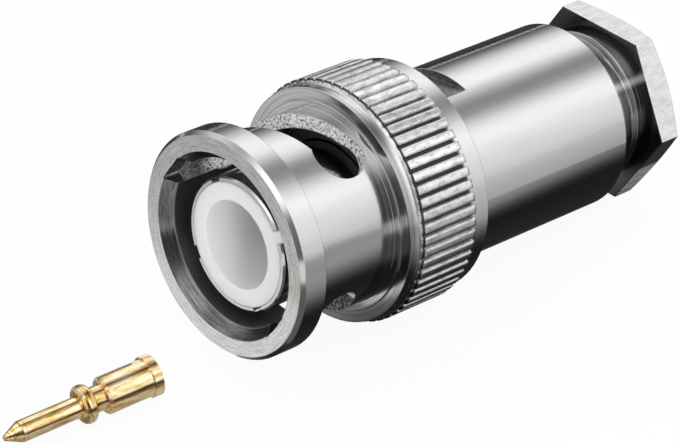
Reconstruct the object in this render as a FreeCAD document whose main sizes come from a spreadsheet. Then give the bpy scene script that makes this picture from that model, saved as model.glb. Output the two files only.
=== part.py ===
import FreeCAD
import Part
import Sketcher
import math
import os
import re

# A clamp-type bayonet coaxial cable plug with its centre pin lying beside it.
# Every turned piece is drawn along its own +Z axis, with Z = 0 at the front face of
# the coupling nut and Z growing towards the cable. All sizes are in millimetres.

os.makedirs("parts", exist_ok=True)
doc = FreeCAD.newDocument("bayonet_plug")

# Driving dimensions
SIZES = {
    # clearances
    "running_clearance": 0.05,
    "nut_play": 0.25,
    "seat_gap": 0.05,
    "ring_clearance": 0.1,
    "insulator_clearance": 0.03,
    "press_gap": 0.01,
    # coupling nut, outside
    "flange_radius": 7.0,
    "flange_width": 1.8,
    "face_chamfer": 0.25,
    "barrel_radius": 6.1,
    "step_radius": 6.58,
    "step_depth": 0.1,
    "shoulder_radius": 7.33,
    "shoulder_length": 0.7,
    "knurl_chamfer": 0.25,
    "knurl_radius": 7.62,
    "knurl_end": 13.15,
    "band_radius": 7.32,
    "band_chamfer": 0.15,
    "nut_length": 14.6,
    # straight knurl
    "tooth_count": 60,
    "groove_depth": 0.36,
    "groove_width": 0.34,
    "groove_floor": 0.1,
    # coupling nut, inside
    "mouth_radius": 5.8,
    "lead_in_depth": 0.77,
    "mating_radius": 5.2,
    "washer_room_radius": 6.45,
    "washer_room_rear": 12.9,
    # bayonet slots
    "slot_width": 2.8,
    "slot_pitch": 8.0,
    "slot_turn": 84.5,
    "slot_start": 4.49,
    "detent_radius": 1.65,
    "detent_set_back": 0.19,
    "slot_end_wall": 0.17,
    "channel_width": 2.3,
    "channel_reach": 5.75,
    # spring-finger outer contact
    "sleeve_front": 1.0,
    "sleeve_radius": 4.16,
    "sleeve_wall": 0.3,
    "sleeve_chamfer": 0.12,
    "finger_slot_width": 0.8,
    "finger_slot_length": 6.2,
    "contact_flange_play": 0.5,
    "contact_flange_front": 9.2,
    "contact_flange_thickness": 1.0,
    "tail_radius": 4.0,
    "tail_bore": 3.2,
    "tail_length": 2.0,
    "insulator_step": 0.4,
    # insulators
    "dielectric_radius": 2.75,
    "dielectric_depth": 5.2,
    "web_thickness": 1.0,
    "lug_reach": 4.6,
    "lug_length": 1.0,
    "pin_hole_clearance": 0.075,
    "pin_pocket_clearance": 0.045,
    "rear_insulator_bore": 1.55,
    "rear_insulator_length": 1.9,
    # body
    "neck_radius": 4.7,
    "shoulder_gap": 0.15,
    "body_radius": 6.0,
    "body_rear": 27.95,
    "body_chamfer": 0.2,
    "passage_radius": 3.2,
    "passage_length": 1.8,
    "gland_wall": 1.05,
    "gland_chamfer": 0.3,
    "flat_depth": 0.5,
    "flat_length": 2.7,
    # washers behind the contact flange
    "washer_thickness": 0.4,
    "wave_thickness": 0.25,
    "wave_count": 3,
    # seal in the coupling mouth
    "face_gasket_thickness": 0.7,
    # cable clamp
    "clamp_flange_thickness": 1.0,
    "clamp_bore": 2.0,
    "clamp_cone_base": 4.0,
    "clamp_cone_tip": 3.0,
    "clamp_cone_length": 1.6,
    "gasket_length": 3.2,
    "gasket_bore": 2.7,
    "slip_washer_thickness": 0.8,
    # clamp nut
    "thread_showing": 2.82,
    "stub_length": 6.6,
    "cable_bore": 2.9,
    "relief_depth": 0.4,
    "relief_width": 0.7,
    "hex_thickness": 1.8,
    "hex_across": 11.0,
    "hex_chamfer_radius": 5.45,
    "hex_chamfer_slope": 0.4,
    # centre pin
    "pin_radius": 0.66,
    "pin_tip_radius": 0.15,
    "pin_cone_length": 1.07,
    "collar_front": 4.95,
    "collar_length": 0.86,
    "collar_radius": 1.21,
    "pin_neck_radius": 0.8,
    "pin_neck_length": 0.74,
    "pin_barrel_radius": 1.17,
    "pin_barrel_chamfer": 0.15,
    "pin_rim_radius": 1.285,
    "pin_rim_width": 0.56,
    "pin_length": 10.12,
    "solder_cup_radius": 0.55,
    "solder_cup_depth": 3.2,
    "sight_hole_radius": 0.3,
    "sight_hole_place": 7.7,
    # how the pieces lie
    "nut_turn": 148.5,
    "knurl_phase": 1.1,
    "nut_lift": 0.15,
    "nut_shift": -0.12,
    "sleeve_turn": 33.0,
    "flats_turn": 8.0,
    "pin_tip_x": -2.605,
    "pin_tip_y": -15.524,
    "pin_yaw": 7.41,
}

sheet = doc.addObject("Spreadsheet::Sheet", "sizes")
for row, (name, value) in enumerate(SIZES.items(), start=1):
    sheet.set(f"A{row}", name)
    sheet.set(f"B{row}", str(value))
    sheet.setAlias(f"B{row}", name)
doc.recompute()


def bound(expression):
    """The same expression with each size read from the sheet."""
    names = "|".join(SIZES)
    return re.sub(rf"\b({names})\b", r"sizes.\1", expression)


def value_of(expression):
    """The number that a sum or product of sizes comes to."""
    numbers = re.sub(r"[a-z_]+", lambda word: str(sheet.get(word.group())), expression)
    return FreeCAD.Units.Quantity(numbers).Value


# Places along the axis that several pieces share
DETENT_PLACE = "(slot_start + slot_pitch * slot_turn / 360 - detent_set_back)"
BARREL_END = "(" + DETENT_PLACE + " + detent_radius + slot_end_wall)"
KNURL_FRONT = "(" + BARREL_END + " + step_depth + shoulder_length)"
GROOVE_FRONT = "(" + KNURL_FRONT + " + knurl_chamfer / 2)"
CONTACT_FLANGE_REAR = "(contact_flange_front + contact_flange_thickness)"
TAIL_REAR = "(contact_flange_front + contact_flange_thickness + tail_length)"
INSULATOR_SEAT = "(contact_flange_front + insulator_step)"
BUSH_SEAT = "(" + TAIL_REAR + " + 2 * seat_gap + rear_insulator_length)"
GLAND_FLOOR = "(" + BUSH_SEAT + " + passage_length)"
GLAND_RADIUS = "(body_radius - gland_wall)"
BODY_SHOULDER = "(nut_length + shoulder_gap)"
HEX_FRONT = "(body_rear + thread_showing)"
STUB_FRONT = "(body_rear + thread_showing - stub_length)"
THRUST_FRONT = "(washer_room_rear - seat_gap - washer_thickness)"
WAVE_HEIGHT = "((washer_room_rear - " + CONTACT_FLANGE_REAR + " - washer_thickness - 5 * seat_gap) / 2)"
CLAMP_FRONT = "(" + GLAND_FLOOR + " + seat_gap)"
CLAMP_FACE = "(" + CLAMP_FRONT + " + clamp_flange_thickness)"
GASKET_FRONT = "(" + CLAMP_FACE + " + seat_gap)"
GLAND_PIECE_RADIUS = "(body_radius - gland_wall - ring_clearance)"
PIN_BARREL_FRONT = "(collar_front + collar_length + pin_neck_length)"
PIN_RIM_FRONT = "(pin_length - pin_rim_width)"


def new_body(name):
    body = doc.addObject("PartDesign::Body", name)
    body.Label = name
    return body


def origin_item(body, role):
    return next(item for item in body.Origin.OriginFeatures if item.Role == role)


def new_sketch(body, name, plane, height="0"):
    """An empty sketch on one of the body's origin planes, moved along the plane's normal."""
    sketch = body.newObject("Sketcher::SketchObject", name)
    sketch.AttachmentSupport = [(origin_item(body, plane), "")]
    sketch.MapMode = "FlatFace"
    if height != "0":
        sketch.setExpression("AttachmentOffset.Base.z", bound(height))
    return sketch


def pin_point(sketch, line, end, axis_kind, expression):
    """Hold one end of a line at a distance from the origin, along one direction."""
    if expression == "0":
        # edge -2 is the vertical axis and edge -1 the horizontal one
        axis_edge = -2 if axis_kind == "DistanceX" else -1
        sketch.addConstraint(Sketcher.Constraint("PointOnObject", line, end, axis_edge))
        return
    sketch.addConstraint(Sketcher.Constraint(axis_kind, -1, 1, line, end, value_of(expression)))
    sketch.setExpression(f"Constraints[{sketch.ConstraintCount - 1}]", bound(expression))


def draw_outline(sketch, points):
    """A closed outline of straight lines through corners given as pairs of expressions."""
    places = [FreeCAD.Vector(value_of(across), value_of(along), 0) for across, along in points]
    for here, there in zip(places, places[1:] + places[:1]):
        sketch.addGeometry(Part.LineSegment(here, there), False)
    count = len(points)
    for line in range(count):
        sketch.addConstraint(Sketcher.Constraint("Coincident", line, 2, (line + 1) % count, 1))
    for line, (across, along) in enumerate(points):
        pin_point(sketch, line, 1, "DistanceX", across)
        pin_point(sketch, line, 1, "DistanceY", along)


def draw_circle(sketch, radius, across="0", along="0"):
    centre = FreeCAD.Vector(value_of(across), value_of(along), 0)
    circle = sketch.addGeometry(Part.Circle(centre, FreeCAD.Vector(0, 0, 1), value_of(radius)), False)
    sketch.addConstraint(Sketcher.Constraint("Radius", circle, value_of(radius)))
    sketch.setExpression(f"Constraints[{sketch.ConstraintCount - 1}]", bound(radius))
    pin_point(sketch, circle, 3, "DistanceX", across)
    pin_point(sketch, circle, 3, "DistanceY", along)


def turned(body, name, points, cut=False):
    """A full revolution about the piece's own Z axis; each point is (radius, place along Z)."""
    sketch = new_sketch(body, name + "_outline", "XZ_Plane")
    draw_outline(sketch, points)
    feature = body.newObject("PartDesign::Groove" if cut else "PartDesign::Revolution", name)
    feature.Profile = sketch
    feature.ReferenceAxis = (sketch, ["V_Axis"])
    feature.Angle = 360
    sketch.Visibility = False
    doc.recompute()
    return feature


def milled(body, name, sketch, length, add=False, reverse=False):
    """A pocket or pad of a sketch, from its plane over a bound length."""
    feature = body.newObject("PartDesign::Pad" if add else "PartDesign::Pocket", name)
    feature.Profile = sketch
    feature.Reversed = reverse
    feature.setExpression("Length", bound(length))
    sketch.Visibility = False
    doc.recompute()
    return feature


def repeated(body, name, features, count):
    """Copies of the features all round the Z axis."""
    pattern = body.newObject("PartDesign::PolarPattern", name)
    pattern.Originals = features
    pattern.Axis = (origin_item(body, "Z_Axis"), [""])
    pattern.Angle = 360
    pattern.setExpression("Occurrences", bound(count))
    body.Tip = pattern
    doc.recompute()
    return pattern


# Coupling nut: one turned piece with a knurled ring, two bayonet slots and the
# channels that let the socket's lugs in
def make_coupling_nut():
    body = new_body("coupling_nut")
    lip_bore = "neck_radius + nut_play"
    turned(body, "nut_turning", [
        ("mating_radius", "lead_in_depth"),
        ("mouth_radius", "0"),
        ("flange_radius - face_chamfer", "0"),
        ("flange_radius", "face_chamfer"),
        ("flange_radius", "flange_width"),
        ("barrel_radius", "flange_width"),
        ("barrel_radius", BARREL_END),
        ("step_radius", BARREL_END),
        ("step_radius", BARREL_END + " + step_depth"),
        ("shoulder_radius", BARREL_END + " + step_depth"),
        ("shoulder_radius", KNURL_FRONT),
        ("knurl_radius", KNURL_FRONT + " + knurl_chamfer"),
        ("knurl_radius", "knurl_end"),
        ("band_radius", "knurl_end"),
        ("band_radius", "nut_length - band_chamfer"),
        ("band_radius - band_chamfer", "nut_length"),
        (lip_bore, "nut_length"),
        (lip_bore, "washer_room_rear"),
        ("washer_room_radius", "washer_room_rear"),
        ("washer_room_radius", "contact_flange_front - seat_gap"),
        ("mating_radius", "contact_flange_front - seat_gap"),
    ])

    slot_cut = new_sketch(body, "slot_section", "XZ_Plane")
    inner = "mating_radius - channel_width / 4"
    outer = "barrel_radius + channel_width / 4"
    draw_outline(slot_cut, [
        (inner, "slot_start - slot_width / 2"),
        (outer, "slot_start - slot_width / 2"),
        (outer, "slot_start + slot_width / 2"),
        (inner, "slot_start + slot_width / 2"),
    ])
    ramp = body.newObject("PartDesign::SubtractiveHelix", "slot_ramp")
    ramp.Profile = slot_cut
    ramp.ReferenceAxis = (slot_cut, ["V_Axis"])
    ramp.Mode = "pitch-turns-angle"
    ramp.setExpression("Pitch", bound("slot_pitch"))
    ramp.setExpression("Turns", bound("slot_turn / 360"))
    slot_cut.Visibility = False
    doc.recompute()

    start = new_sketch(body, "slot_mouth_circle", "YZ_Plane")
    draw_circle(start, "slot_width / 2", "0", "slot_start")
    slot_mouth = milled(body, "slot_mouth", start, "barrel_radius + step_depth", reverse=True)

    rest = new_sketch(body, "detent_circle", "YZ_Plane")
    rest.AttachmentOffset = FreeCAD.Placement(FreeCAD.Vector(), FreeCAD.Rotation(FreeCAD.Vector(0, 1, 0), 0))
    rest.setExpression("AttachmentOffset.Rotation.Angle", bound("slot_turn"))
    draw_circle(rest, "detent_radius", "0", DETENT_PLACE)
    detent = milled(body, "slot_detent", rest, "barrel_radius + step_depth", reverse=True)

    way_in = new_sketch(body, "channel_section", "XY_Plane")
    draw_outline(way_in, [
        (inner, "-channel_width / 2"),
        ("channel_reach", "-channel_width / 2"),
        ("channel_reach", "channel_width / 2"),
        (inner, "channel_width / 2"),
    ])
    channel = milled(body, "lug_channel", way_in, "slot_start", reverse=True)
    repeated(body, "both_slots", [ramp, slot_mouth, detent, channel], "2")

    groove = new_sketch(body, "knurl_groove_section", "XY_Plane", GROOVE_FRONT)
    groove.setExpression("AttachmentOffset.Rotation.Angle", bound("knurl_phase"))
    bottom = "knurl_radius - groove_depth"
    top = "knurl_radius + groove_depth / 4"
    draw_outline(groove, [
        (bottom, "-groove_floor / 2"),
        (top, "-groove_width / 2"),
        (top, "groove_width / 2"),
        (bottom, "groove_floor / 2"),
    ])
    tooth_gap = milled(body, "knurl_groove", groove, "knurl_end - " + GROOVE_FRONT, reverse=True)
    repeated(body, "knurl", [tooth_gap], "tooth_count")
    return body


# Outer contact: a sleeve slit into four spring fingers, with the flange that holds
# the coupling nut's washers and a tail pressed into the body
def make_outer_contact():
    body = new_body("outer_contact")
    bore = "sleeve_radius - sleeve_wall"
    turned(body, "contact_turning", [
        (bore, "sleeve_front"),
        ("sleeve_radius - sleeve_chamfer", "sleeve_front"),
        ("sleeve_radius", "sleeve_front + sleeve_chamfer"),
        ("sleeve_radius", "contact_flange_front"),
        ("washer_room_radius - contact_flange_play", "contact_flange_front"),
        ("washer_room_radius - contact_flange_play", CONTACT_FLANGE_REAR),
        ("tail_radius", CONTACT_FLANGE_REAR),
        ("tail_radius", TAIL_REAR),
        ("tail_bore", TAIL_REAR),
        ("tail_bore", INSULATOR_SEAT),
        (bore, INSULATOR_SEAT),
    ])
    slit = new_sketch(body, "finger_slot_section", "XY_Plane", "sleeve_front")
    draw_outline(slit, [
        ("tail_bore", "-finger_slot_width / 2"),
        ("sleeve_radius + sleeve_wall", "-finger_slot_width / 2"),
        ("sleeve_radius + sleeve_wall", "finger_slot_width / 2"),
        ("tail_bore", "finger_slot_width / 2"),
    ])
    finger_slot = milled(body, "finger_slot", slit, "finger_slot_length", reverse=True)
    repeated(body, "fingers", [finger_slot], "4")
    return body


# Front insulator: a flanged plug with a deep socket and one lug that stands out
# through a finger slot
def make_front_insulator():
    body = new_body("front_insulator")
    outside = "sleeve_radius - sleeve_wall - insulator_clearance"
    rear_outside = "tail_bore - insulator_clearance"
    socket_floor = "sleeve_front + dielectric_depth"
    web_rear = "sleeve_front + dielectric_depth + web_thickness"
    pin_hole = "pin_radius + pin_hole_clearance"
    pocket = "pin_rim_radius + pin_pocket_clearance"
    seat = INSULATOR_SEAT + " - seat_gap"
    turned(body, "insulator_turning", [
        ("dielectric_radius", "sleeve_front"),
        (outside, "sleeve_front"),
        (outside, seat),
        (rear_outside, seat),
        (rear_outside, TAIL_REAR),
        (pocket, TAIL_REAR),
        (pocket, web_rear),
        (pin_hole, web_rear),
        (pin_hole, socket_floor),
        ("dielectric_radius", socket_floor),
    ])
    side = new_sketch(body, "lug_section", "XY_Plane", "sleeve_front")
    half_lug = "(finger_slot_width / 2 - insulator_clearance)"
    draw_outline(side, [
        ("(dielectric_radius + sleeve_radius) / 2", "-" + half_lug),
        ("lug_reach", "-" + half_lug),
        ("lug_reach", half_lug),
        ("(dielectric_radius + sleeve_radius) / 2", half_lug),
    ])
    milled(body, "lug", side, "lug_length", add=True)
    return body


def make_rear_insulator():
    body = new_body("rear_insulator")
    turned(body, "bush", [
        ("rear_insulator_bore", TAIL_REAR + " + seat_gap"),
        ("tail_radius - seat_gap", TAIL_REAR + " + seat_gap"),
        ("tail_radius - seat_gap", BUSH_SEAT + " - seat_gap"),
        ("rear_insulator_bore", BUSH_SEAT + " - seat_gap"),
    ])
    return body


# Body: a neck that the coupling nut turns on, a plain barrel with two wrench flats
# and a threaded gland for the cable clamp
def make_body():
    body = new_body("body_shell")
    neck_bore = "tail_radius + press_gap"
    turned(body, "body_turning", [
        (neck_bore, CONTACT_FLANGE_REAR),
        ("neck_radius", CONTACT_FLANGE_REAR),
        ("neck_radius", BODY_SHOULDER),
        ("body_radius", BODY_SHOULDER),
        ("body_radius", "body_rear - body_chamfer"),
        ("body_radius - body_chamfer", "body_rear"),
        (GLAND_RADIUS + " + gland_chamfer", "body_rear"),
        (GLAND_RADIUS, "body_rear - gland_chamfer"),
        (GLAND_RADIUS, GLAND_FLOOR),
        ("passage_radius", GLAND_FLOOR),
        ("passage_radius", BUSH_SEAT),
        (neck_bore, BUSH_SEAT),
    ])
    side = new_sketch(body, "wrench_flat_section", "XY_Plane", BODY_SHOULDER)
    draw_outline(side, [
        ("-body_radius", "body_radius - flat_depth"),
        ("body_radius", "body_radius - flat_depth"),
        ("body_radius", "body_radius + flat_depth"),
        ("-body_radius", "body_radius + flat_depth"),
    ])
    flat = milled(body, "wrench_flat", side, "flat_length", reverse=True)
    repeated(body, "wrench_flats", [flat], "2")
    return body


# Washers between the contact flange and the coupling nut's rear lip: two wave
# washers that push the nut back, and a flat washer that it turns against
def make_thrust_washer():
    body = new_body("thrust_washer")
    turned(body, "washer", [
        ("neck_radius + ring_clearance", THRUST_FRONT),
        ("washer_room_radius - nut_play", THRUST_FRONT),
        ("washer_room_radius - nut_play", "washer_room_rear - seat_gap"),
        ("neck_radius + ring_clearance", "washer_room_rear - seat_gap"),
    ])
    return body


def make_wave_washer(name, front):
    """A thin ring whose faces rise and fall along three waves."""
    inner = value_of("neck_radius + 2 * ring_clearance")
    outer = value_of("washer_room_radius - nut_play - ring_clearance")
    thickness = value_of("wave_thickness")
    swing = (value_of(WAVE_HEIGHT) - thickness) / 2
    waves = int(value_of("wave_count"))
    middle = value_of(front) + swing

    def rim(radius, lift):
        points = []
        steps = 8 * waves
        for step in range(steps):
            angle = 2 * math.pi * step / steps
            height = middle + lift + swing * math.cos(waves * angle)
            points.append(FreeCAD.Vector(radius * math.cos(angle), radius * math.sin(angle), height))
        curve = Part.BSplineCurve()
        curve.interpolate(Points=points, PeriodicFlag=True)
        return curve.toShape()

    low_inner = rim(inner, 0)
    low_outer = rim(outer, 0)
    high_inner = rim(inner, thickness)
    high_outer = rim(outer, thickness)
    faces = [
        Part.makeRuledSurface(low_inner, low_outer),
        Part.makeRuledSurface(high_inner, high_outer),
        Part.makeRuledSurface(low_inner, high_inner),
        Part.makeRuledSurface(low_outer, high_outer),
    ]
    shell = Part.makeShell(faces)
    shell.sewShape()
    solid = Part.makeSolid(shell)
    if solid.Volume < 0:
        solid.reverse()
    washer = doc.addObject("Part::Feature", name)
    washer.Label = name
    washer.Shape = solid
    return washer


def make_face_gasket():
    body = new_body("face_gasket")
    rear = "contact_flange_front - seat_gap"
    turned(body, "seal_ring", [
        ("sleeve_radius + ring_clearance", rear + " - face_gasket_thickness"),
        ("mating_radius - nut_play", rear + " - face_gasket_thickness"),
        ("mating_radius - nut_play", rear),
        ("sleeve_radius + ring_clearance", rear),
    ])
    return body


# Cable clamp: the braid is held between the clamp's flange and the gland floor, and
# the clamp's cone spreads the gasket that the nut squeezes
def make_braid_clamp():
    body = new_body("braid_clamp")
    turned(body, "clamp_turning", [
        ("clamp_bore", CLAMP_FRONT),
        (GLAND_PIECE_RADIUS, CLAMP_FRONT),
        (GLAND_PIECE_RADIUS, CLAMP_FACE),
        ("clamp_cone_base", CLAMP_FACE),
        ("clamp_cone_tip", CLAMP_FACE + " + clamp_cone_length"),
        ("clamp_bore", CLAMP_FACE + " + clamp_cone_length"),
    ])
    return body


def make_cable_gasket():
    body = new_body("cable_gasket")
    cone_end = CLAMP_FACE + " + clamp_cone_length + seat_gap"
    turned(body, "gasket_moulding", [
        ("clamp_cone_base + ring_clearance", GASKET_FRONT),
        (GLAND_PIECE_RADIUS, GASKET_FRONT),
        (GLAND_PIECE_RADIUS, GASKET_FRONT + " + gasket_length"),
        ("gasket_bore", GASKET_FRONT + " + gasket_length"),
        ("gasket_bore", cone_end),
        ("clamp_cone_tip + ring_clearance", cone_end),
    ])
    return body


def make_slip_washer():
    body = new_body("slip_washer")
    rear = STUB_FRONT + " - seat_gap"
    turned(body, "washer", [
        ("cable_bore", rear + " - slip_washer_thickness"),
        (GLAND_PIECE_RADIUS, rear + " - slip_washer_thickness"),
        (GLAND_PIECE_RADIUS, rear),
        ("cable_bore", rear),
    ])
    return body


# Clamp nut: a threaded stub with a thin hexagon and the cable's way in
def make_clamp_nut():
    body = new_body("clamp_nut")
    stub_radius = "(body_radius - gland_wall - running_clearance)"
    turned(body, "stub", [
        ("cable_bore", STUB_FRONT),
        (stub_radius + " - face_chamfer", STUB_FRONT),
        (stub_radius, STUB_FRONT + " + face_chamfer"),
        (stub_radius, HEX_FRONT + " - relief_width"),
        (stub_radius + " - relief_depth", HEX_FRONT + " - relief_width"),
        (stub_radius + " - relief_depth", HEX_FRONT + " + hex_thickness / 2"),
        ("cable_bore", HEX_FRONT + " + hex_thickness / 2"),
    ])
    hexagon = body.newObject("PartDesign::AdditivePrism", "hexagon")
    hexagon.Polygon = 6
    hexagon.setExpression("Circumradius", bound("hex_across / sqrt(3)"))
    hexagon.setExpression("Height", bound("hex_thickness"))
    hexagon.AttachmentSupport = [(origin_item(body, "XY_Plane"), "")]
    hexagon.MapMode = "FlatFace"
    hexagon.setExpression("AttachmentOffset.Base.z", bound(HEX_FRONT))
    doc.recompute()
    rear = HEX_FRONT + " + hex_thickness"
    drop = "(hex_across - hex_chamfer_radius) * hex_chamfer_slope"
    turned(body, "corner_chamfer", [
        ("hex_chamfer_radius", rear),
        ("hex_across", rear),
        ("hex_across", rear + " - " + drop),
    ], cut=True)
    bore = new_sketch(body, "cable_bore_circle", "XY_Plane", STUB_FRONT)
    draw_circle(bore, "cable_bore")
    milled(body, "cable_way", bore, "stub_length + hex_thickness", reverse=True)
    return body


# Centre pin, along its own Z from the tip: a cone, a shank, a rounded collar that
# seats on the insulator, and a barrel with a rim and a cup for the wire
def make_centre_pin():
    body = new_body("centre_pin")
    turning = turned(body, "pin_turning", [
        ("0", "0"),
        ("pin_tip_radius", "0"),
        ("pin_radius", "pin_cone_length"),
        ("pin_radius", "collar_front"),
        ("collar_radius", "collar_front"),
        ("collar_radius", "collar_front + collar_length"),
        ("pin_neck_radius", "collar_front + collar_length"),
        ("pin_neck_radius", PIN_BARREL_FRONT),
        ("pin_barrel_radius - pin_barrel_chamfer", PIN_BARREL_FRONT),
        ("pin_barrel_radius", PIN_BARREL_FRONT + " + pin_barrel_chamfer"),
        ("pin_barrel_radius", PIN_RIM_FRONT),
        ("pin_rim_radius", PIN_RIM_FRONT),
        ("pin_rim_radius", "pin_length"),
        ("solder_cup_radius", "pin_length"),
        ("solder_cup_radius", "pin_length - solder_cup_depth"),
        ("0", "pin_length - solder_cup_depth"),
    ])
    collar_edges = []
    for number, edge in enumerate(turning.Shape.Edges, start=1):
        round_edge = isinstance(edge.Curve, Part.Circle)
        if round_edge and abs(edge.Curve.Radius - value_of("collar_radius")) < 1e-6:
            collar_edges.append(f"Edge{number}")
    bead = body.newObject("PartDesign::Fillet", "collar_bead")
    bead.Base = (turning, collar_edges)
    bead.setExpression("Radius", bound("min(collar_length / 2; collar_radius - pin_neck_radius) * 0.96"))
    body.Tip = bead
    doc.recompute()
    sight = new_sketch(body, "sight_hole_circle", "YZ_Plane")
    draw_circle(sight, "sight_hole_radius", "0", "sight_hole_place")
    milled(body, "sight_hole", sight, "pin_barrel_radius + pin_radius")
    return body


# How the plug lies: on the rear edge of its knurl and the rear edge of a hexagon
# flat, so the axis falls towards the cable. The coupling nut has play on the neck, and
# the rest of the plug hangs a little low in it. The frame's origin is the centre of
# the insulator's front face, with +Y along the plug towards the cable and +Z up.
def lying_plug():
    knurl_low = value_of("knurl_radius - nut_lift")
    hex_low = value_of("hex_across / 2")
    chamfer_drop = value_of("(hex_across / 2 - hex_chamfer_radius) * hex_chamfer_slope")
    contact_length = value_of(HEX_FRONT + " + hex_thickness - knurl_end") - chamfer_drop
    fall = math.degrees(math.atan2(knurl_low - hex_low, contact_length))
    turn = FreeCAD.Rotation(FreeCAD.Vector(1, 0, 0), -90 - fall)
    axis = turn.multVec(FreeCAD.Vector(0, 0, 1))
    place = FreeCAD.Placement(axis * -value_of("sleeve_front"), turn)
    floor = place.multVec(FreeCAD.Vector(0, knurl_low, value_of("knurl_end"))).z
    return place, floor


def turned_place(place, angle, aside=0, up=0):
    """A piece's place on the plug, turned about its own axis, seen from the front."""
    turn = FreeCAD.Rotation(FreeCAD.Vector(0, 0, 1), -angle)
    return place.multiply(FreeCAD.Placement(FreeCAD.Vector(aside, -up, 0), turn))


def lying_pin(floor):
    """The pin rests on its collar and its rear rim."""
    collar_middle = value_of("collar_front + collar_length / 2")
    rise = value_of("pin_rim_radius - collar_radius")
    dip = math.degrees(math.atan2(rise, value_of(PIN_RIM_FRONT) - collar_middle))
    heading = FreeCAD.Rotation(FreeCAD.Vector(0, 0, 1), -value_of("pin_yaw"))
    level = FreeCAD.Rotation(FreeCAD.Vector(1, 0, 0), -90 + dip)
    turn = heading.multiply(level)
    axis = turn.multVec(FreeCAD.Vector(0, 0, 1))
    collar_drop = value_of("collar_radius") * math.cos(math.radians(dip))
    tip_height = floor + collar_drop - axis.z * collar_middle
    return FreeCAD.Placement(FreeCAD.Vector(value_of("pin_tip_x"), value_of("pin_tip_y"), tip_height), turn)


coupling_nut = make_coupling_nut()
outer_contact = make_outer_contact()
front_insulator = make_front_insulator()
rear_insulator = make_rear_insulator()
body_shell = make_body()
face_gasket = make_face_gasket()
wave_washer_front = make_wave_washer("wave_washer_front", CONTACT_FLANGE_REAR + " + seat_gap")
wave_washer_rear = make_wave_washer("wave_washer_rear", THRUST_FRONT + " - seat_gap - " + WAVE_HEIGHT)
thrust_washer = make_thrust_washer()
braid_clamp = make_braid_clamp()
cable_gasket = make_cable_gasket()
slip_washer = make_slip_washer()
clamp_nut = make_clamp_nut()
centre_pin = make_centre_pin()

plug_place, floor_height = lying_plug()
coupling_nut.Placement = turned_place(
    plug_place, value_of("nut_turn"), value_of("nut_shift"), value_of("nut_lift"))
outer_contact.Placement = turned_place(plug_place, value_of("sleeve_turn"))
front_insulator.Placement = turned_place(plug_place, value_of("sleeve_turn"))
body_shell.Placement = turned_place(plug_place, value_of("flats_turn"))
for piece in (rear_insulator, face_gasket, wave_washer_front, wave_washer_rear, thrust_washer,
              braid_clamp, cable_gasket, slip_washer, clamp_nut):
    piece.Placement = plug_place
centre_pin.Placement = lying_pin(floor_height)
doc.recompute()

pieces = [coupling_nut, outer_contact, front_insulator, rear_insulator, body_shell, face_gasket,
          wave_washer_front, wave_washer_rear, thrust_washer, braid_clamp, cable_gasket,
          slip_washer, clamp_nut, centre_pin]

for item in doc.Objects:
    if "Invalid" in item.State or "Error" in item.State:
        raise RuntimeError(f"{item.Label} failed: {item.State}")
for piece in pieces:
    if piece.Shape.isNull() or not piece.Shape.isValid() or len(piece.Shape.Solids) != 1:
        raise RuntimeError(f"{piece.Label} is not one valid solid")
for piece in pieces:
    piece.Shape.exportStep(f"parts/{piece.Label}.step")
    print(piece.Label, round(piece.Shape.Volume, 3), "mm3")
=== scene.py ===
import math
from collections import namedtuple

import bmesh
import bpy
from mathutils import Matrix, Vector


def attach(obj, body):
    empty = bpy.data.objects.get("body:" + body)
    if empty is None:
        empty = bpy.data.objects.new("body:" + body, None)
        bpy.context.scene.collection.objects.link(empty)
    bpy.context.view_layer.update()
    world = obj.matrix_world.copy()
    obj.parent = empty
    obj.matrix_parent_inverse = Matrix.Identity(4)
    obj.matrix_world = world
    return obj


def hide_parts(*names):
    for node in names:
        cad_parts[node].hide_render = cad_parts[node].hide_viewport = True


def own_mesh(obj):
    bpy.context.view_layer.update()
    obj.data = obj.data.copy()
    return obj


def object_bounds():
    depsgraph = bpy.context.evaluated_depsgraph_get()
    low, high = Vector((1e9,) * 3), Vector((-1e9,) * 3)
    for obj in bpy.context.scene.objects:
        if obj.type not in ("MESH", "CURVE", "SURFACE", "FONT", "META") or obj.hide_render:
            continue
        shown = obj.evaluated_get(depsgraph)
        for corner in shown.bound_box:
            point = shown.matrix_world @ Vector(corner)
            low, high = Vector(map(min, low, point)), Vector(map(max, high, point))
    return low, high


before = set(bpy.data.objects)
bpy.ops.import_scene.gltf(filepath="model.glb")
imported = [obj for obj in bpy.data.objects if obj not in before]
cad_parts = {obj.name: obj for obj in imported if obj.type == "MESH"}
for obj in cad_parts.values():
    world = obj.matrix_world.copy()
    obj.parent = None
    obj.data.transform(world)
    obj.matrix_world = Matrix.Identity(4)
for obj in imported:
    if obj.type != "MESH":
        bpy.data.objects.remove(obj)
cad_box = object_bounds()

# Places on the plug are in mm: along its axis from the coupling nut's front face, or out from the axis
MM = 0.001
FALL = math.radians(5.7983)          # how far the plug's axis drops towards the cable
NUT_FRONT = 1.0                      # the origin is this far behind the nut's front face
NUT_AXIS = (-0.12, 0.15)             # the coupling nut's axis beside and above the plug's own
PIN_YAW = math.radians(7.41)         # the loose pin's heading
PIN_SHIFT = (0.581, 15.730, 7.385)   # brings the pin's tip and its axis to nought
FLOOR = cad_box[0][2]                # the surface that everything lies on, in metres

Place = namedtuple("Place", "along out angle up local")
Finish = namedtuple("Finish", "shade rough height rounding")


# Shader node helpers
def new_material(name):
    mat = bpy.data.materials.new(name)
    mat.use_nodes = True
    tree = mat.node_tree
    return mat, tree, tree.nodes["Principled BSDF"]


def feed(tree, socket, value):
    if isinstance(value, bpy.types.NodeSocket):
        tree.links.new(value, socket)
    else:
        socket.default_value = value


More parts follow.
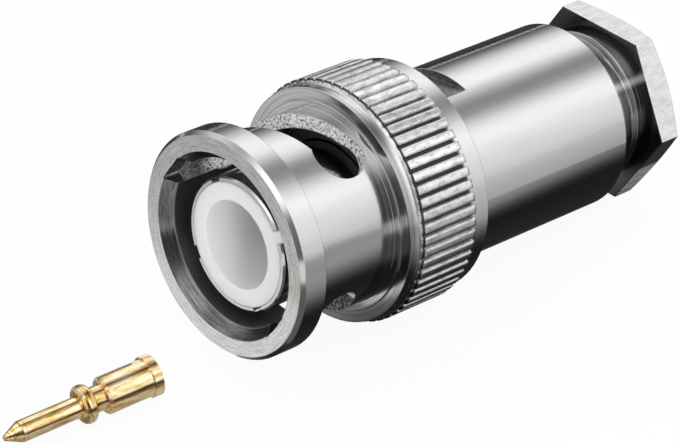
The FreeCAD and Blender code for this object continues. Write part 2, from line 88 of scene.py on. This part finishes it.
def node(tree, kind, inputs=(), **settings):
    made = tree.nodes.new(kind)
    for key, value in settings.items():
        setattr(made, key, value)
    for key, value in dict(inputs).items():
        feed(tree, made.inputs[key], value)
    return made


def maths(tree, operation, *values):
    made = node(tree, "ShaderNodeMath", operation=operation)
    for index, value in enumerate(values):
        feed(tree, made.inputs[index], value)
    return made.outputs[0]


def times(tree, product, *factors):
    for factor in factors:
        product = maths(tree, "MULTIPLY", product, factor)
    return product


def plus(tree, first, second):
    return maths(tree, "ADD", first, second)


def grey(level):
    return (level, level, level, 1)


def ramp(tree, source, stops, interpolation="LINEAR"):
    """Colours or grey levels from a value between nought and one."""
    made = node(tree, "ShaderNodeValToRGB", {"Fac": source})
    made.color_ramp.interpolation = interpolation
    elements = made.color_ramp.elements
    while len(elements) < len(stops):
        elements.new(0.5)
    for element, (place, shade) in zip(elements, stops):
        element.position = place
        element.color = (*shade, 1) if isinstance(shade, tuple) else grey(shade)
    return made.outputs["Color"]


def band(tree, source, low, high, soft=0.02):
    """One between low and high, nought outside them."""
    rise = node(tree, "ShaderNodeMapRange",
                {"Value": source, "From Min": low - soft, "From Max": low + soft})
    fall = node(tree, "ShaderNodeMapRange",
                {"Value": source, "From Min": high - soft, "From Max": high + soft,
                 "To Min": 1.0, "To Max": 0.0})
    return times(tree, rise.outputs["Result"], fall.outputs["Result"])


def mix(tree, share, plain, marked):
    made = node(tree, "ShaderNodeMix", {"Factor": share}, data_type="RGBA")
    feed(tree, made.inputs[6], plain)
    feed(tree, made.inputs[7], marked)
    return made.outputs[2]


def noise(tree, place, scale, detail=4.0, roughness=0.6):
    made = node(tree, "ShaderNodeTexNoise",
                {"Vector": place, "Scale": scale, "Detail": detail, "Roughness": roughness})
    return made.outputs["Fac"]


def stretched(tree, x, y, z, *settings):
    """Noise over three values, each with its own stretch."""
    place = node(tree, "ShaderNodeCombineXYZ", {"X": x, "Y": y, "Z": z}).outputs[0]
    return noise(tree, place, *settings)


def object_point(tree):
    return node(tree, "ShaderNodeTexCoord").outputs["Object"]


def split(tree, vector):
    return node(tree, "ShaderNodeSeparateXYZ", {"Vector": vector}).outputs


def in_mm(tree, location, rotation):
    return node(tree, "ShaderNodeMapping",
                {"Vector": object_point(tree), "Location": location, "Rotation": rotation,
                 "Scale": (1000, 1000, 1000)}).outputs["Vector"]


def turn_share(tree, up, across):
    """The angle round an axis as a share of a full turn, a half at nought degrees."""
    return maths(tree, "MULTIPLY_ADD", maths(tree, "ARCTAN2", up, across), 0.5 / math.pi, 0.5)


def turn_stops(levels):
    return [(0.5 + degrees / 360, level) for degrees, level in levels]


def plug_place(tree, beside=0.0, above=0.0):
    """Place along an axis of the plug, distance from it and angle round it."""
    local = in_mm(tree, (-beside, NUT_FRONT, -above), (FALL, 0, 0))
    across, along, up = split(tree, local)
    squares = plus(tree, times(tree, across, across), times(tree, up, up))
    return Place(along, maths(tree, "SQRT", squares), maths(tree, "ARCTAN2", up, across), up, local)


def relief(tree, shader, height, strength, rounding):
    """Rounded edges and a finely uneven surface."""
    edge = node(tree, "ShaderNodeBevel", {"Radius": rounding}, samples=6)
    bump = node(tree, "ShaderNodeBump",
                {"Height": height, "Strength": strength, "Distance": 0.02 * MM,
                 "Normal": edge.outputs["Normal"]})
    tree.links.new(bump.outputs["Normal"], shader.inputs["Normal"])


# Nickel
NICKEL_TINT = 0.62
NICKEL_EDGE = 0.06 * MM


def nickel(name, roughness=0.13, axis=(0.0, 0.0), details=None):
    """Bright nickel on turned brass: rings left by the tool, faint streaks, one piece's details."""
    mat, tree, shader = new_material(name)
    place = plug_place(tree, *axis)
    along, out, angle = place.along, place.out, place.angle
    shader.inputs["Metallic"].default_value = 1.0
    rings = stretched(tree, along, out, times(tree, angle, 0.25), 9.0, 5.0, 0.65)
    fine = stretched(tree, along, out, times(tree, angle, 0.6), 30.0, 2.0, 0.5)
    streaks = stretched(tree, times(tree, along, 0.15), times(tree, angle, 6.0), out, 1.2, 3.0)
    pale = (NICKEL_TINT, NICKEL_TINT, NICKEL_TINT * 0.995)
    finish = Finish(
        shade=ramp(tree, streaks, [(0.3, tuple(c * 0.95 for c in pale)), (0.7, pale)]),
        rough=ramp(tree, rings, [(0.3, roughness * 0.8), (0.75, roughness * 1.4)]),
        height=plus(tree, rings, times(tree, fine, 0.35)),
        rounding=NICKEL_EDGE)
    if details:
        finish = details(tree, shader, place, finish)
    tree.links.new(finish.shade, shader.inputs["Base Color"])
    tree.links.new(finish.rough, shader.inputs["Roughness"])
    relief(tree, shader, finish.height, 0.05, finish.rounding)
    return mat


# Zones of the coupling nut, in mm along its axis or out from it
INSIDE_ALONG, INSIDE_OUT = (0.01, 40.0), (-1.0, 5.81)
BORE_ALONG, BORE_OUT = (0.7, 8.0), (5.1, 5.24)
BEYOND_BORE_OUT = (5.24, 9.0)
SLOT_ALONG, SLOT_OUT = (1.2, 8.0), (5.24, 6.06)
CHANNEL_ALONG = (0.0, 2.9)
LOWER_SLOT_UP = (-9.0, -3.0)
FACE_ALONG, FACE_OUT = (-0.5, 0.02), (5.7, 7.2)
SHOULDER_ALONG, SHOULDER_OUT = (7.98, 8.95), (6.1, 7.8)
PAINTED_ARC_ALONG, PAINTED_ARC_ANGLE = (8.02, 8.55), (-1.2, 1.5)
KNURL_ALONG = (8.85, 13.16)
GROOVE_ALONG, GROOVE_OUT = (8.85, 13.1), (7.2, 7.37)
KNURL_EDGE_SHADE_ALONG, KNURL_EDGE_SHADE_OUT = (8.93, 9.1), (7.2, 7.6)


def nut_details(tree, shader, place, finish):
    """Rougher bore, painted shade in the mouth, bore, lug channel, lower slot and knurl gaps, a
    painted dark reflection on the cone, rough milled slots, faced front, ringed shoulder and rounded
    knurl teeth.
    """
    along, out, angle, up, local = place
    shade, rough, height, _ = finish
    speckle = noise(tree, local, 6.0, 5.0, 0.8)
    grain = noise(tree, local, 8.0, 3.0, 0.7)
    turned = stretched(tree, out, along, times(tree, angle, 0.35), 10.0, 4.0, 0.8)

    # Painted shade: the mouth and bore are painted dark where shade falls in the nut; the higher
    # roughness there is a real rougher finish
    inside = times(tree, band(tree, out, *INSIDE_OUT), band(tree, along, *INSIDE_ALONG))
    shade = mix(tree, inside, shade, ramp(tree, turned, [(0.35, 0.07), (0.65, 0.24)]))
    bore = times(tree, band(tree, out, *BORE_OUT), band(tree, along, *BORE_ALONG))
    shade = mix(tree, bore, shade, grey(0.26))
    beyond_bore = band(tree, out, *BEYOND_BORE_OUT)
    rough = mix(tree, inside, rough, ramp(tree, beyond_bore, [(0.0, 0.5), (1.0, 0.22)]))

    milled = times(tree, band(tree, out, *SLOT_OUT), band(tree, along, *SLOT_ALONG))
    upper = ramp(tree, speckle, [(0.42, 0.03), (0.49, 0.75), (0.6, 0.9)])
    # Painted shade: the lower slot walls and the lug channel are painted darker than the upper walls,
    # as shade in those recesses; the speckle is the rough milled surface
    lower = ramp(tree, speckle, [(0.53, 0.02), (0.62, 0.8)])
    channel = ramp(tree, speckle, [(0.42, 0.06), (0.6, 0.42)])
    upper = mix(tree, band(tree, along, *CHANNEL_ALONG, 0.2), upper, channel)
    walls = mix(tree, band(tree, up, *LOWER_SLOT_UP), upper, lower)
    shade = mix(tree, milled, shade, walls)
    rough = mix(tree, milled, rough, grey(0.6))
    tree.links.new(maths(tree, "MULTIPLY_ADD", milled, -0.85, 1.0), shader.inputs["Metallic"])

    front = times(tree, band(tree, along, *FACE_ALONG, 0.01), band(tree, out, *FACE_OUT))
    faced = plus(tree, times(tree, turned, 0.6), times(tree, grain, 0.4))
    shade = mix(tree, front, shade, ramp(tree, faced, [(0.40, 0.40), (0.58, 0.76)]))
    rough = mix(tree, front, rough, grey(0.3))

    shoulder = times(tree, band(tree, along, *SHOULDER_ALONG), band(tree, out, *SHOULDER_OUT))
    ringed = stretched(tree, out, along, times(tree, angle, 0.06), 9.0, 5.0, 0.8)
    rings = ramp(tree, ringed, [(0.38, 0.3), (0.47, 0.6), (0.6, 0.78)])
    shade = mix(tree, shoulder, shade, rings)
    # Painted dark reflection: a dark arc on the shoulder cone in front of the knurl
    painted_dark_arc = times(tree, band(tree, along, *PAINTED_ARC_ALONG, 0.15),
                   band(tree, angle, *PAINTED_ARC_ANGLE, 0.4), 0.5)
    shade = mix(tree, painted_dark_arc, shade, grey(0.09))

    knurl = band(tree, along, *KNURL_ALONG, 0.05)
    rough = mix(tree, knurl, rough, grey(0.28))
    worn = stretched(tree, times(tree, along, 0.5), times(tree, angle, 9.0), out, 2.5, 5.0, 0.75)
    teeth = ramp(tree, worn, [(0.36, 0.42), (0.5, 0.74), (0.64, 0.86)])
    shade = mix(tree, knurl, shade, teeth)
    # Painted shade: the gaps between the knurl teeth and the knurl's front edge are painted dark, as
    # shade in those creases
    groove = times(tree, band(tree, out, *GROOVE_OUT, 0.04), band(tree, along, *GROOVE_ALONG, 0.05))
    shade = mix(tree, groove, shade, grey(0.08))
    seam = times(tree, band(tree, along, *KNURL_EDGE_SHADE_ALONG, 0.03), band(tree, out, *KNURL_EDGE_SHADE_OUT))
    shade = mix(tree, seam, shade, grey(0.06))

    height = times(tree, height, maths(tree, "MULTIPLY_ADD", front, 3.0, 1.0))
    height = plus(tree, height, times(tree, speckle, milled, 8.0))
    height = plus(tree, height, times(tree, speckle, knurl, 5.0))
    rounding = maths(tree, "MULTIPLY_ADD", knurl, 0.22 * MM, NICKEL_EDGE)
    return Finish(shade, rough, height, rounding)


# The clamp nut's hexagon starts here; a painted highlight crosses the front, and the flat facing down
# gets a lit copy of the finish
HEXAGON_FRONT, HEXAGON_PAST = 30.785, 40.0
THREAD_PAST = 26.0
PAINTED_HIGHLIGHT_ANGLE, DOWN_FLAT_LIT_ANGLE = (0.70, 0.76), (-1.57, -0.53)
LIT_LOW_FRONT_UP = (-9.0, -4.0)


def clamp_details(tree, shader, place, finish):
    """Painted shade on the thread and front face, lighter low down as painted light, a painted
    highlight across them, a lit copy of the finish on the flat facing down, and flats with the grain
    of the drawn bar.
    """
    along, out, angle, up, local = place
    grain = noise(tree, local, 9.0, 5.0, 0.75)
    drawn = stretched(tree, times(tree, along, 0.3), times(tree, angle, 5.0), out, 3.0, 4.0, 0.7)
    bar = maths(tree, "MULTIPLY_ADD", grain, 0.5, times(tree, drawn, 0.5))
    ahead = band(tree, along, 0.0, HEXAGON_FRONT, 0.01)
    flats = ramp(tree, bar, [(0.38, 0.56), (0.56, 0.78)])
    # Painted shade: the thread and the hexagon's front face are painted dark as shade in the gap, and
    # lighter low down as painted light
    front = mix(tree, band(tree, up, *LIT_LOW_FRONT_UP, 1.2), grey(0.3), grey(0.6))
    shade = mix(tree, ahead, flats, front)
    rough = mix(tree, ahead, grey(0.34), grey(0.2))
    # Painted highlight: a pale, less metallic band across the thread and the hexagon's front face
    streak = times(tree, band(tree, angle, *PAINTED_HIGHLIGHT_ANGLE, 0.05),
                   band(tree, along, THREAD_PAST, HEXAGON_FRONT, 0.01))
    # Painted light: the flat facing down gets a lit copy of the finish, less metallic so that it
    # catches light, with its own grain tones
    under = times(tree, band(tree, angle, *DOWN_FLAT_LIT_ANGLE, 0.05),
                  band(tree, along, HEXAGON_FRONT, HEXAGON_PAST, 0.01))
    shade = mix(tree, streak, shade, grey(0.75))
    shade = mix(tree, under, shade, ramp(tree, bar, [(0.36, 0.16), (0.6, 0.62)]))
    less_metal_painted = maths(tree, "MAXIMUM", times(tree, streak, 0.55), times(tree, under, 0.5))
    tree.links.new(maths(tree, "SUBTRACT", 1.0, less_metal_painted), shader.inputs["Metallic"])
    height = plus(tree, finish.height, times(tree, plus(tree, grain, drawn), 2.0))
    return Finish(shade, rough, height, finish.rounding)


FLAT_ALONG, FLAT_OUT = (14.6, 20.0), (4.6, 5.955)


def body_details(tree, shader, place, finish):
    """Milled spanner flats behind the coupling nut, painted dark as a painted dark reflection, with
    milled grain.
    """
    grain = noise(tree, place.local, 5.0, 4.0, 0.75)
    # Painted dark reflection: the milled flats are painted dark; the grain in that tone and the
    # roughness are the milled surface
    flat = times(tree, band(tree, place.along, *FLAT_ALONG), band(tree, place.out, *FLAT_OUT, 0.01))
    shade = mix(tree, flat, finish.shade, ramp(tree, grain, [(0.4, 0.16), (0.62, 0.36)]))
    rough = mix(tree, flat, finish.rough, grey(0.28))
    return Finish(shade, rough, finish.height, finish.rounding)


# Plastic, gold and the plain materials
def white_plastic(name):
    mat, tree, shader = new_material(name)
    shader.inputs["Base Color"].default_value = grey(0.77)
    shader.inputs["Roughness"].default_value = 0.42
    shader.inputs["Subsurface Weight"].default_value = 0.6
    shader.inputs["Subsurface Radius"].default_value = (0.8 * MM, 0.8 * MM, 0.8 * MM)
    shader.inputs["Subsurface Scale"].default_value = 1.0
    relief(tree, shader, noise(tree, object_point(tree), 2600.0, 3.0), 0.05, 0.08 * MM)
    return mat


# Zones of the loose pin, in mm from its tip, and the dark reflections painted on it, by degrees round
# it
PIN_CONE_ALONG, PIN_COLLAR_ALONG = (-1.0, 1.3), (4.8, 5.75)
PIN_PAINTED_REFLECTIONS = [(-30, 0.1), (2, 0.05), (7, 0.9), (16, 0.97), (21, 0), (61, 0), (65, 0.95),
             (68, 0.95), (72, 0), (114, 0), (124, 0.8)]
PIN_REFLECTION_DARK = (0.17, 0.075, 0.012, 1)


def gold(name):
    """Gold on turned brass: streaks that are partly painted reflections, painted dark reflections
    round it, rings on the cone and the collar.
    """
    mat, tree, shader = new_material(name)
    shader.inputs["Metallic"].default_value = 1.0
    shader.inputs["Roughness"].default_value = 0.13
    across, along, up = split(tree, in_mm(tree, PIN_SHIFT, (0, 0, PIN_YAW)))
    rings = stretched(tree, times(tree, across, 0.12), along, times(tree, up, 0.12), 7.0, 4.0, 0.7)
    streaks = stretched(tree, across, times(tree, along, 0.12), up, 4.0, 4.0, 0.7)
    ringed = maths(tree, "MAXIMUM", band(tree, along, *PIN_CONE_ALONG, 0.1),
                   band(tree, along, *PIN_COLLAR_ALONG, 0.08))
    # Partly painted reflections: the wide swing from brown to pale gold along the pin stands in for
    # mirrored bands, over a real faint streaking
    smooth = ramp(tree, streaks, [(0.36, (0.50, 0.28, 0.06)), (0.48, (0.86, 0.61, 0.28)),
                                  (0.6, (1.0, 0.87, 0.65))])
    turned = ramp(tree, rings, [(0.42, (0.38, 0.19, 0.04)), (0.5, (0.90, 0.64, 0.30)),
                                (0.6, (1.0, 0.84, 0.56))])
    # Painted reflections: dark brown bands at given angles round the pin, broken up by the streaks
    lines = ramp(tree, turn_share(tree, up, across), turn_stops(PIN_PAINTED_REFLECTIONS))
    broken = times(tree, lines, ramp(tree, streaks, [(0.36, 1.0), (0.62, 0.55)]))
    toned = mix(tree, broken, mix(tree, ringed, smooth, turned), PIN_REFLECTION_DARK)
    tree.links.new(toned, shader.inputs["Base Color"])
    height = times(tree, rings, maths(tree, "MULTIPLY_ADD", ringed, 0.8, 0.2))
    relief(tree, shader, height, 0.2, 0.04 * MM)
    return mat


def plain(name, colour, roughness, metallic=0.0):
    mat, tree, shader = new_material(name)
    cloud = noise(tree, object_point(tree), 3000.0, 3.0)
    shade = ramp(tree, cloud, [(0.3, tuple(c * 0.85 for c in colour)), (0.7, colour)])
    tree.links.new(shade, shader.inputs["Base Color"])
    shader.inputs["Roughness"].default_value = roughness
    shader.inputs["Metallic"].default_value = metallic
    return mat


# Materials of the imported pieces
clamp_finish = nickel("nickel_plate_clamp", details=clamp_details)
DRESS = [
    (nickel("nickel_plate_small"), ("braid_clamp", "slip_washer")),
    (nickel("nickel_plate_nut", axis=NUT_AXIS, details=nut_details), ("coupling_nut",)),
    (nickel("nickel_plate_body", roughness=0.11, details=body_details), ("body_shell",)),
    (nickel("nickel_plate_contact", roughness=0.12), ("outer_contact",)),
    (clamp_finish, ("clamp_nut",)),
    (white_plastic("white_fluoropolymer"), ("front_insulator", "rear_insulator")),
    (plain("black_rubber", (0.025, 0.025, 0.025), 0.6), ("face_gasket", "cable_gasket")),
    (plain("spring_bronze", (0.55, 0.40, 0.26), 0.35, 1.0),
     ("thrust_washer", "wave_washer_front", "wave_washer_rear")),
    (gold("gold_plate"), ("centre_pin",)),
]
for mat, names in DRESS:
    for name in names:
        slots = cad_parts[name].data.materials
        slots.clear()
        slots.append(mat)

# Clamp nut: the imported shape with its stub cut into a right-handed thread
STUB_RADIUS, THREAD_DEPTH, PITCH = 4.9, 0.4, 0.75
THREAD_FRONT, THREAD_REAR = 24.42, 30.07
CREST_SHARE, FLANK_SHARE = 0.14, 0.66
FRONT_RUN_OUT, REAR_RUN_OUT = 0.5, 0.3
COLUMNS, STEP = 120, 0.05
WELD, ON_STUB, SEAM_REACH = 0.001 * MM, 0.02, 1
SHARP = math.radians(28)


def thread_place(point):
    """Distance from the axis and place along it, of a point of the mesh."""
    turned = Matrix.Rotation(FALL, 3, "X") @ point / MM
    return math.hypot(turned.x, turned.z), turned.y + NUT_FRONT


def mesh_point(radius, along, angle):
    turned = Vector((radius * math.cos(angle), along - NUT_FRONT, radius * math.sin(angle)))
    return Matrix.Rotation(-FALL, 3, "X") @ turned * MM


def thread_radius(along, angle):
    turn = (along / PITCH + angle / (2 * math.pi)) % 1.0
    fall = min(max((abs(turn - 0.5) * 2 - CREST_SHARE) / FLANK_SHARE, 0.0), 1.0)
    run_out = min((along - THREAD_FRONT) / FRONT_RUN_OUT, (THREAD_REAR - along) / REAR_RUN_OUT, 1.0)
    return STUB_RADIUS - THREAD_DEPTH * fall * run_out


def threaded(name, cad):
    shape = bmesh.new()
    shape.from_mesh(cad.data)
    bmesh.ops.remove_doubles(shape, verts=shape.verts, dist=WELD)
    stub = [face for face in shape.faces
            if all(abs(thread_place(v.co)[0] - STUB_RADIUS) < ON_STUB for v in face.verts)]
    bmesh.ops.delete(shape, geom=stub, context="FACES")
    rows = round((THREAD_REAR - THREAD_FRONT) / STEP) - 1
    angles = [2 * math.pi * column / COLUMNS for column in range(COLUMNS)]
    rings = []
    for row in range(rows):
        along = THREAD_FRONT + (THREAD_REAR - THREAD_FRONT) * (row + 1) / (rows + 1)
        rings.append([shape.verts.new(mesh_point(thread_radius(along, angle), along, angle))
                      for angle in angles])
    for near, far in zip(rings, rings[1:]):
        for column in range(COLUMNS):
            after = (column + 1) % COLUMNS
            shape.faces.new((near[column], near[after], far[after], far[column]))
    for seam in (THREAD_FRONT, THREAD_REAR):
        open_edges = [edge for edge in shape.edges if edge.is_boundary
                      and seam - SEAM_REACH < thread_place(edge.verts[0].co)[1] < seam + SEAM_REACH]
        bmesh.ops.bridge_loops(shape, edges=open_edges)
    bmesh.ops.recalc_face_normals(shape, faces=shape.faces)
    for face in shape.faces:
        face.smooth = True
    for edge in shape.edges:
        edge.smooth = len(edge.link_faces) == 2 and edge.calc_face_angle() < SHARP
    mesh = bpy.data.meshes.new(name)
    shape.to_mesh(mesh)
    shape.free()
    obj = bpy.data.objects.new(name, mesh)
    bpy.context.collection.objects.link(obj)
    return obj


clamp = threaded("clamp_nut_threaded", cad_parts["clamp_nut"])
clamp.data.materials.append(clamp_finish)
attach(clamp, "clamp_nut")
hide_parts("clamp_nut")

# Wave washers: copies of the imported shapes, each with its own mesh, attached to the plug
for name in ("wave_washer_front", "wave_washer_rear"):
    washer = bpy.data.objects.new(name + "_sprung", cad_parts[name].data.copy())
    bpy.context.collection.objects.link(washer)
    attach(washer, "plug")
    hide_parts(name)
    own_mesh(washer)


# Sheets of the set, in metres
def sheet(name, corners):
    mesh = bpy.data.meshes.new(name)
    mesh.from_pydata(corners, [], [(0, 1, 2, 3)])
    obj = bpy.data.objects.new(name, mesh)
    bpy.context.collection.objects.link(obj)
    return obj


def level_sheet(name, left, right, front, back, height, back_left=None):
    """A level rectangle, or one whose left edge ends at back_left."""
    left_end = back if back_left is None else back_left
    return sheet(name, [(left, front, height), (right, front, height),
                        (right, back, height), (left, left_end, height)])


def blend_with(tree, share, plain_shader, other_shader):
    blend = node(tree, "ShaderNodeMixShader", {0: share, 1: plain_shader, 2: other_shader})
    tree.links.new(blend.outputs[0], tree.nodes["Material Output"].inputs["Surface"])


def only_mirrored(obj):
    obj.visible_camera = obj.visible_diffuse = obj.visible_shadow = False


# Floor: white as the camera and the metal see it, and it keeps the object's shadow
SPAN = 3.0
floor = level_sheet("floor", -SPAN, SPAN, -SPAN, SPAN, FLOOR)
floor_mat, tree, shader = new_material("floor_white")
shader.inputs["Base Color"].default_value = grey(0.90)
shader.inputs["Roughness"].default_value = 0.9
shader.inputs["Specular IOR Level"].default_value = 0.0
rays = node(tree, "ShaderNodeLightPath").outputs
mirrored = maths(tree, "MAXIMUM", rays["Is Glossy Ray"], rays["Is Transmission Ray"])
seen = maths(tree, "MAXIMUM", rays["Is Camera Ray"], mirrored)
glow = node(tree, "ShaderNodeEmission", {"Color": grey(1), "Strength": 1.0})
blend_with(tree, times(tree, seen, 0.93), shader.outputs[0], glow.outputs[0])
floor.data.materials.append(floor_mat)


# Painted shade: dark sheets on the floor that only reflections see, standing in for the object's
# shadow and dark surroundings in what the metal mirrors
def card(obj, density):
    """density is a number, 1 for black and 0 for clear, or a function that makes its socket."""
    mat, tree, shader = new_material(obj.name)
    tree.nodes.remove(shader)
    clear = node(tree, "ShaderNodeBsdfTransparent")
    black = node(tree, "ShaderNodeEmission", {"Color": grey(0), "Strength": 0.0})
    share = density(tree) if callable(density) else density
    blend_with(tree, share, clear.outputs[0], black.outputs[0])
    obj.data.materials.append(mat)
    only_mirrored(obj)


def fade(distance, stops):
    """Density by a distance in mm, which a function measures."""
    first, last = stops[0][0], stops[-1][0]

    def density(tree):
        share = node(tree, "ShaderNodeMapRange",
                     {"Value": distance(tree), "From Min": first * MM, "From Max": last * MM})
        places = [((mm - first) / (last - first), amount) for mm, amount in stops]
        return ramp(tree, share.outputs["Result"], places)

    return density


def to_the_right(tree):
    return split(tree, object_point(tree))["X"]


def from_the_mouth(tree):
    away = node(tree, "ShaderNodeVectorMath",
                {0: object_point(tree), 1: (-0.006, -0.003, FLOOR)}, operation="DISTANCE")
    return away.outputs["Value"]


LOW_CARD, HIGH_CARD = FLOOR + 0.0001, FLOOR + 0.0002
card(level_sheet("painted_shade_right", 0.0, 0.3, -0.003, 0.3, LOW_CARD),
     fade(to_the_right, [(0, 0.75), (3, 0.97), (10, 0.985), (12, 0.94), (14, 0.84), (16, 0.69),
                         (19, 0.51), (25.4, 0.37), (46, 0.28), (100, 0.2), (300, 0.18)]))
card(level_sheet("painted_shade_right_front", 0.0035, 0.1, -0.025, -0.003, LOW_CARD), 0.85)
card(level_sheet("painted_shade_nut", 0.012, 0.11, -0.003, 0.0765, HIGH_CARD, back_left=0.0177),
     fade(to_the_right, [(12, 0), (17, 0.25), (21, 0.24), (27, 0.3), (32, 0.38), (50, 0.42),
                         (75, 0.34), (110, 0.24)]))
card(level_sheet("painted_shade_left", -0.6, 0.0, 0.002, 0.3, LOW_CARD),
     fade(to_the_right, [(-600, 0.95), (-60, 0.96), (-24, 0.93), (-4, 0.95), (0, 0.75)]))
card(level_sheet("painted_shade_pin", -0.006, 0.003, -0.0165, -0.0048, HIGH_CARD), 0.45)
card(level_sheet("painted_shade_front", -0.12, 0.0, -0.12, 0.0, LOW_CARD),
     fade(from_the_mouth, [(0, 0), (6, 0.0), (18, 0.38), (60, 0.5), (100, 0.5)]))

# Painted reflection: a white sheet that only reflections see, which hides the loose pin from the
# plug's front face
WHITE_LEFT, WHITE_RIGHT, WHITE_PLACE, WHITE_TOP = -0.007, 0.006, -0.0036, -0.002
white_reflection_sheet = sheet("painted_reflection_white", [(WHITE_LEFT, WHITE_PLACE, FLOOR), (WHITE_RIGHT, WHITE_PLACE, FLOOR),
                                  (WHITE_RIGHT, WHITE_PLACE, WHITE_TOP),
                                  (WHITE_LEFT, WHITE_PLACE, WHITE_TOP)])
white_reflection_sheet.data.materials.append(floor_mat)
only_mirrored(white_reflection_sheet)

# World: soft boxes as the plug mirrors them, by degrees round the plug, to its sides and ahead of it
SIDES = [(-23, .5), (-13, .62), (-3, .84), (6, 1.02), (16, 1.12), (26, 1.22), (36, 1.36),
         (46, 1.48), (56, 1.35), (66, 1.0), (76, .58), (86, .40), (94, .44), (102, .7),
         (112, 1.15), (120, 1.4), (130, 1.45), (140, 1.3), (150, 1.0), (160, .6), (170, .25),
         (180, .08)]
AHEAD = [(-23, .12), (0, .12), (30, .18), (45, .3), (55, .9), (65, 1.6), (92, 1.75),
         (108, 1.1), (125, .6), (150, .85), (170, .75), (180, .6)]
FRONT_END, CABLE_END = 1.0, 0.85
BRIGHTEST = 2.2

world = bpy.data.worlds.new("studio")
bpy.context.scene.world = world
world.use_nodes = True
tree = world.node_tree
x, y, z = split(tree, node(tree, "ShaderNodeTexCoord").outputs["Generated"])
turn = turn_share(tree, z, x)


def all_round(levels):
    """A ramp holds no value over 1, so the levels go in scaled down."""
    scaled = [(degrees, strength / BRIGHTEST) for degrees, strength in levels]
    return ramp(tree, turn, turn_stops(scaled), "CARDINAL")


def smooth_step(value, start, end):
    step = node(tree, "ShaderNodeMapRange", {"Value": value, "From Min": start, "From Max": end},
                interpolation_type="SMOOTHSTEP")
    return step.outputs["Result"]


around = mix(tree, smooth_step(y, -0.2, -0.5), all_round(SIDES), all_round(AHEAD))
end_light = ramp(tree, maths(tree, "MULTIPLY_ADD", y, 0.5, 0.5),
                 [(0.4, FRONT_END / BRIGHTEST), (0.6, CABLE_END / BRIGHTEST)])
ends = smooth_step(maths(tree, "ABSOLUTE", y), 0.75, 0.97)
background = tree.nodes["Background"]
tree.links.new(mix(tree, ends, around, end_light), background.inputs["Color"])
background.inputs["Strength"].default_value = BRIGHTEST

# Lamp from the right and in front, low enough to reach the near wall of the socket
LAMP_TARGET = Vector((0, 0.002, 0))
lamp_data = bpy.data.lights.new("lamp", "AREA")
lamp_data.energy = 0.22
lamp_data.size = 0.08
lamp = bpy.data.objects.new("lamp", lamp_data)
bpy.context.collection.objects.link(lamp)
lamp.location = (0.22, -0.09, 0.06)
lamp.rotation_euler = (LAMP_TARGET - lamp.location).to_track_quat("-Z", "Y").to_euler()
lamp.visible_glossy = False

# Camera
VIEW_TURN, VIEW_DROP = math.radians(47.6526), math.radians(34.9941)
FOCAL_PIXELS, PHOTO_WIDTH, SENSOR = 3200, 680, 36.0
camera_data = bpy.data.cameras.new("camera")
camera_data.sensor_width = SENSOR
camera_data.lens = FOCAL_PIXELS * SENSOR / PHOTO_WIDTH
camera_data.clip_start = 0.01
camera_data.clip_end = 20
camera = bpy.data.objects.new("camera", camera_data)
bpy.context.collection.objects.link(camera)
camera.location = (0.1160097, -0.0975900, 0.1076339)
camera.rotation_euler = (math.pi / 2 - VIEW_DROP, 0, VIEW_TURN)
bpy.context.scene.camera = camera
bpy.context.scene.view_settings.view_transform = "Standard"
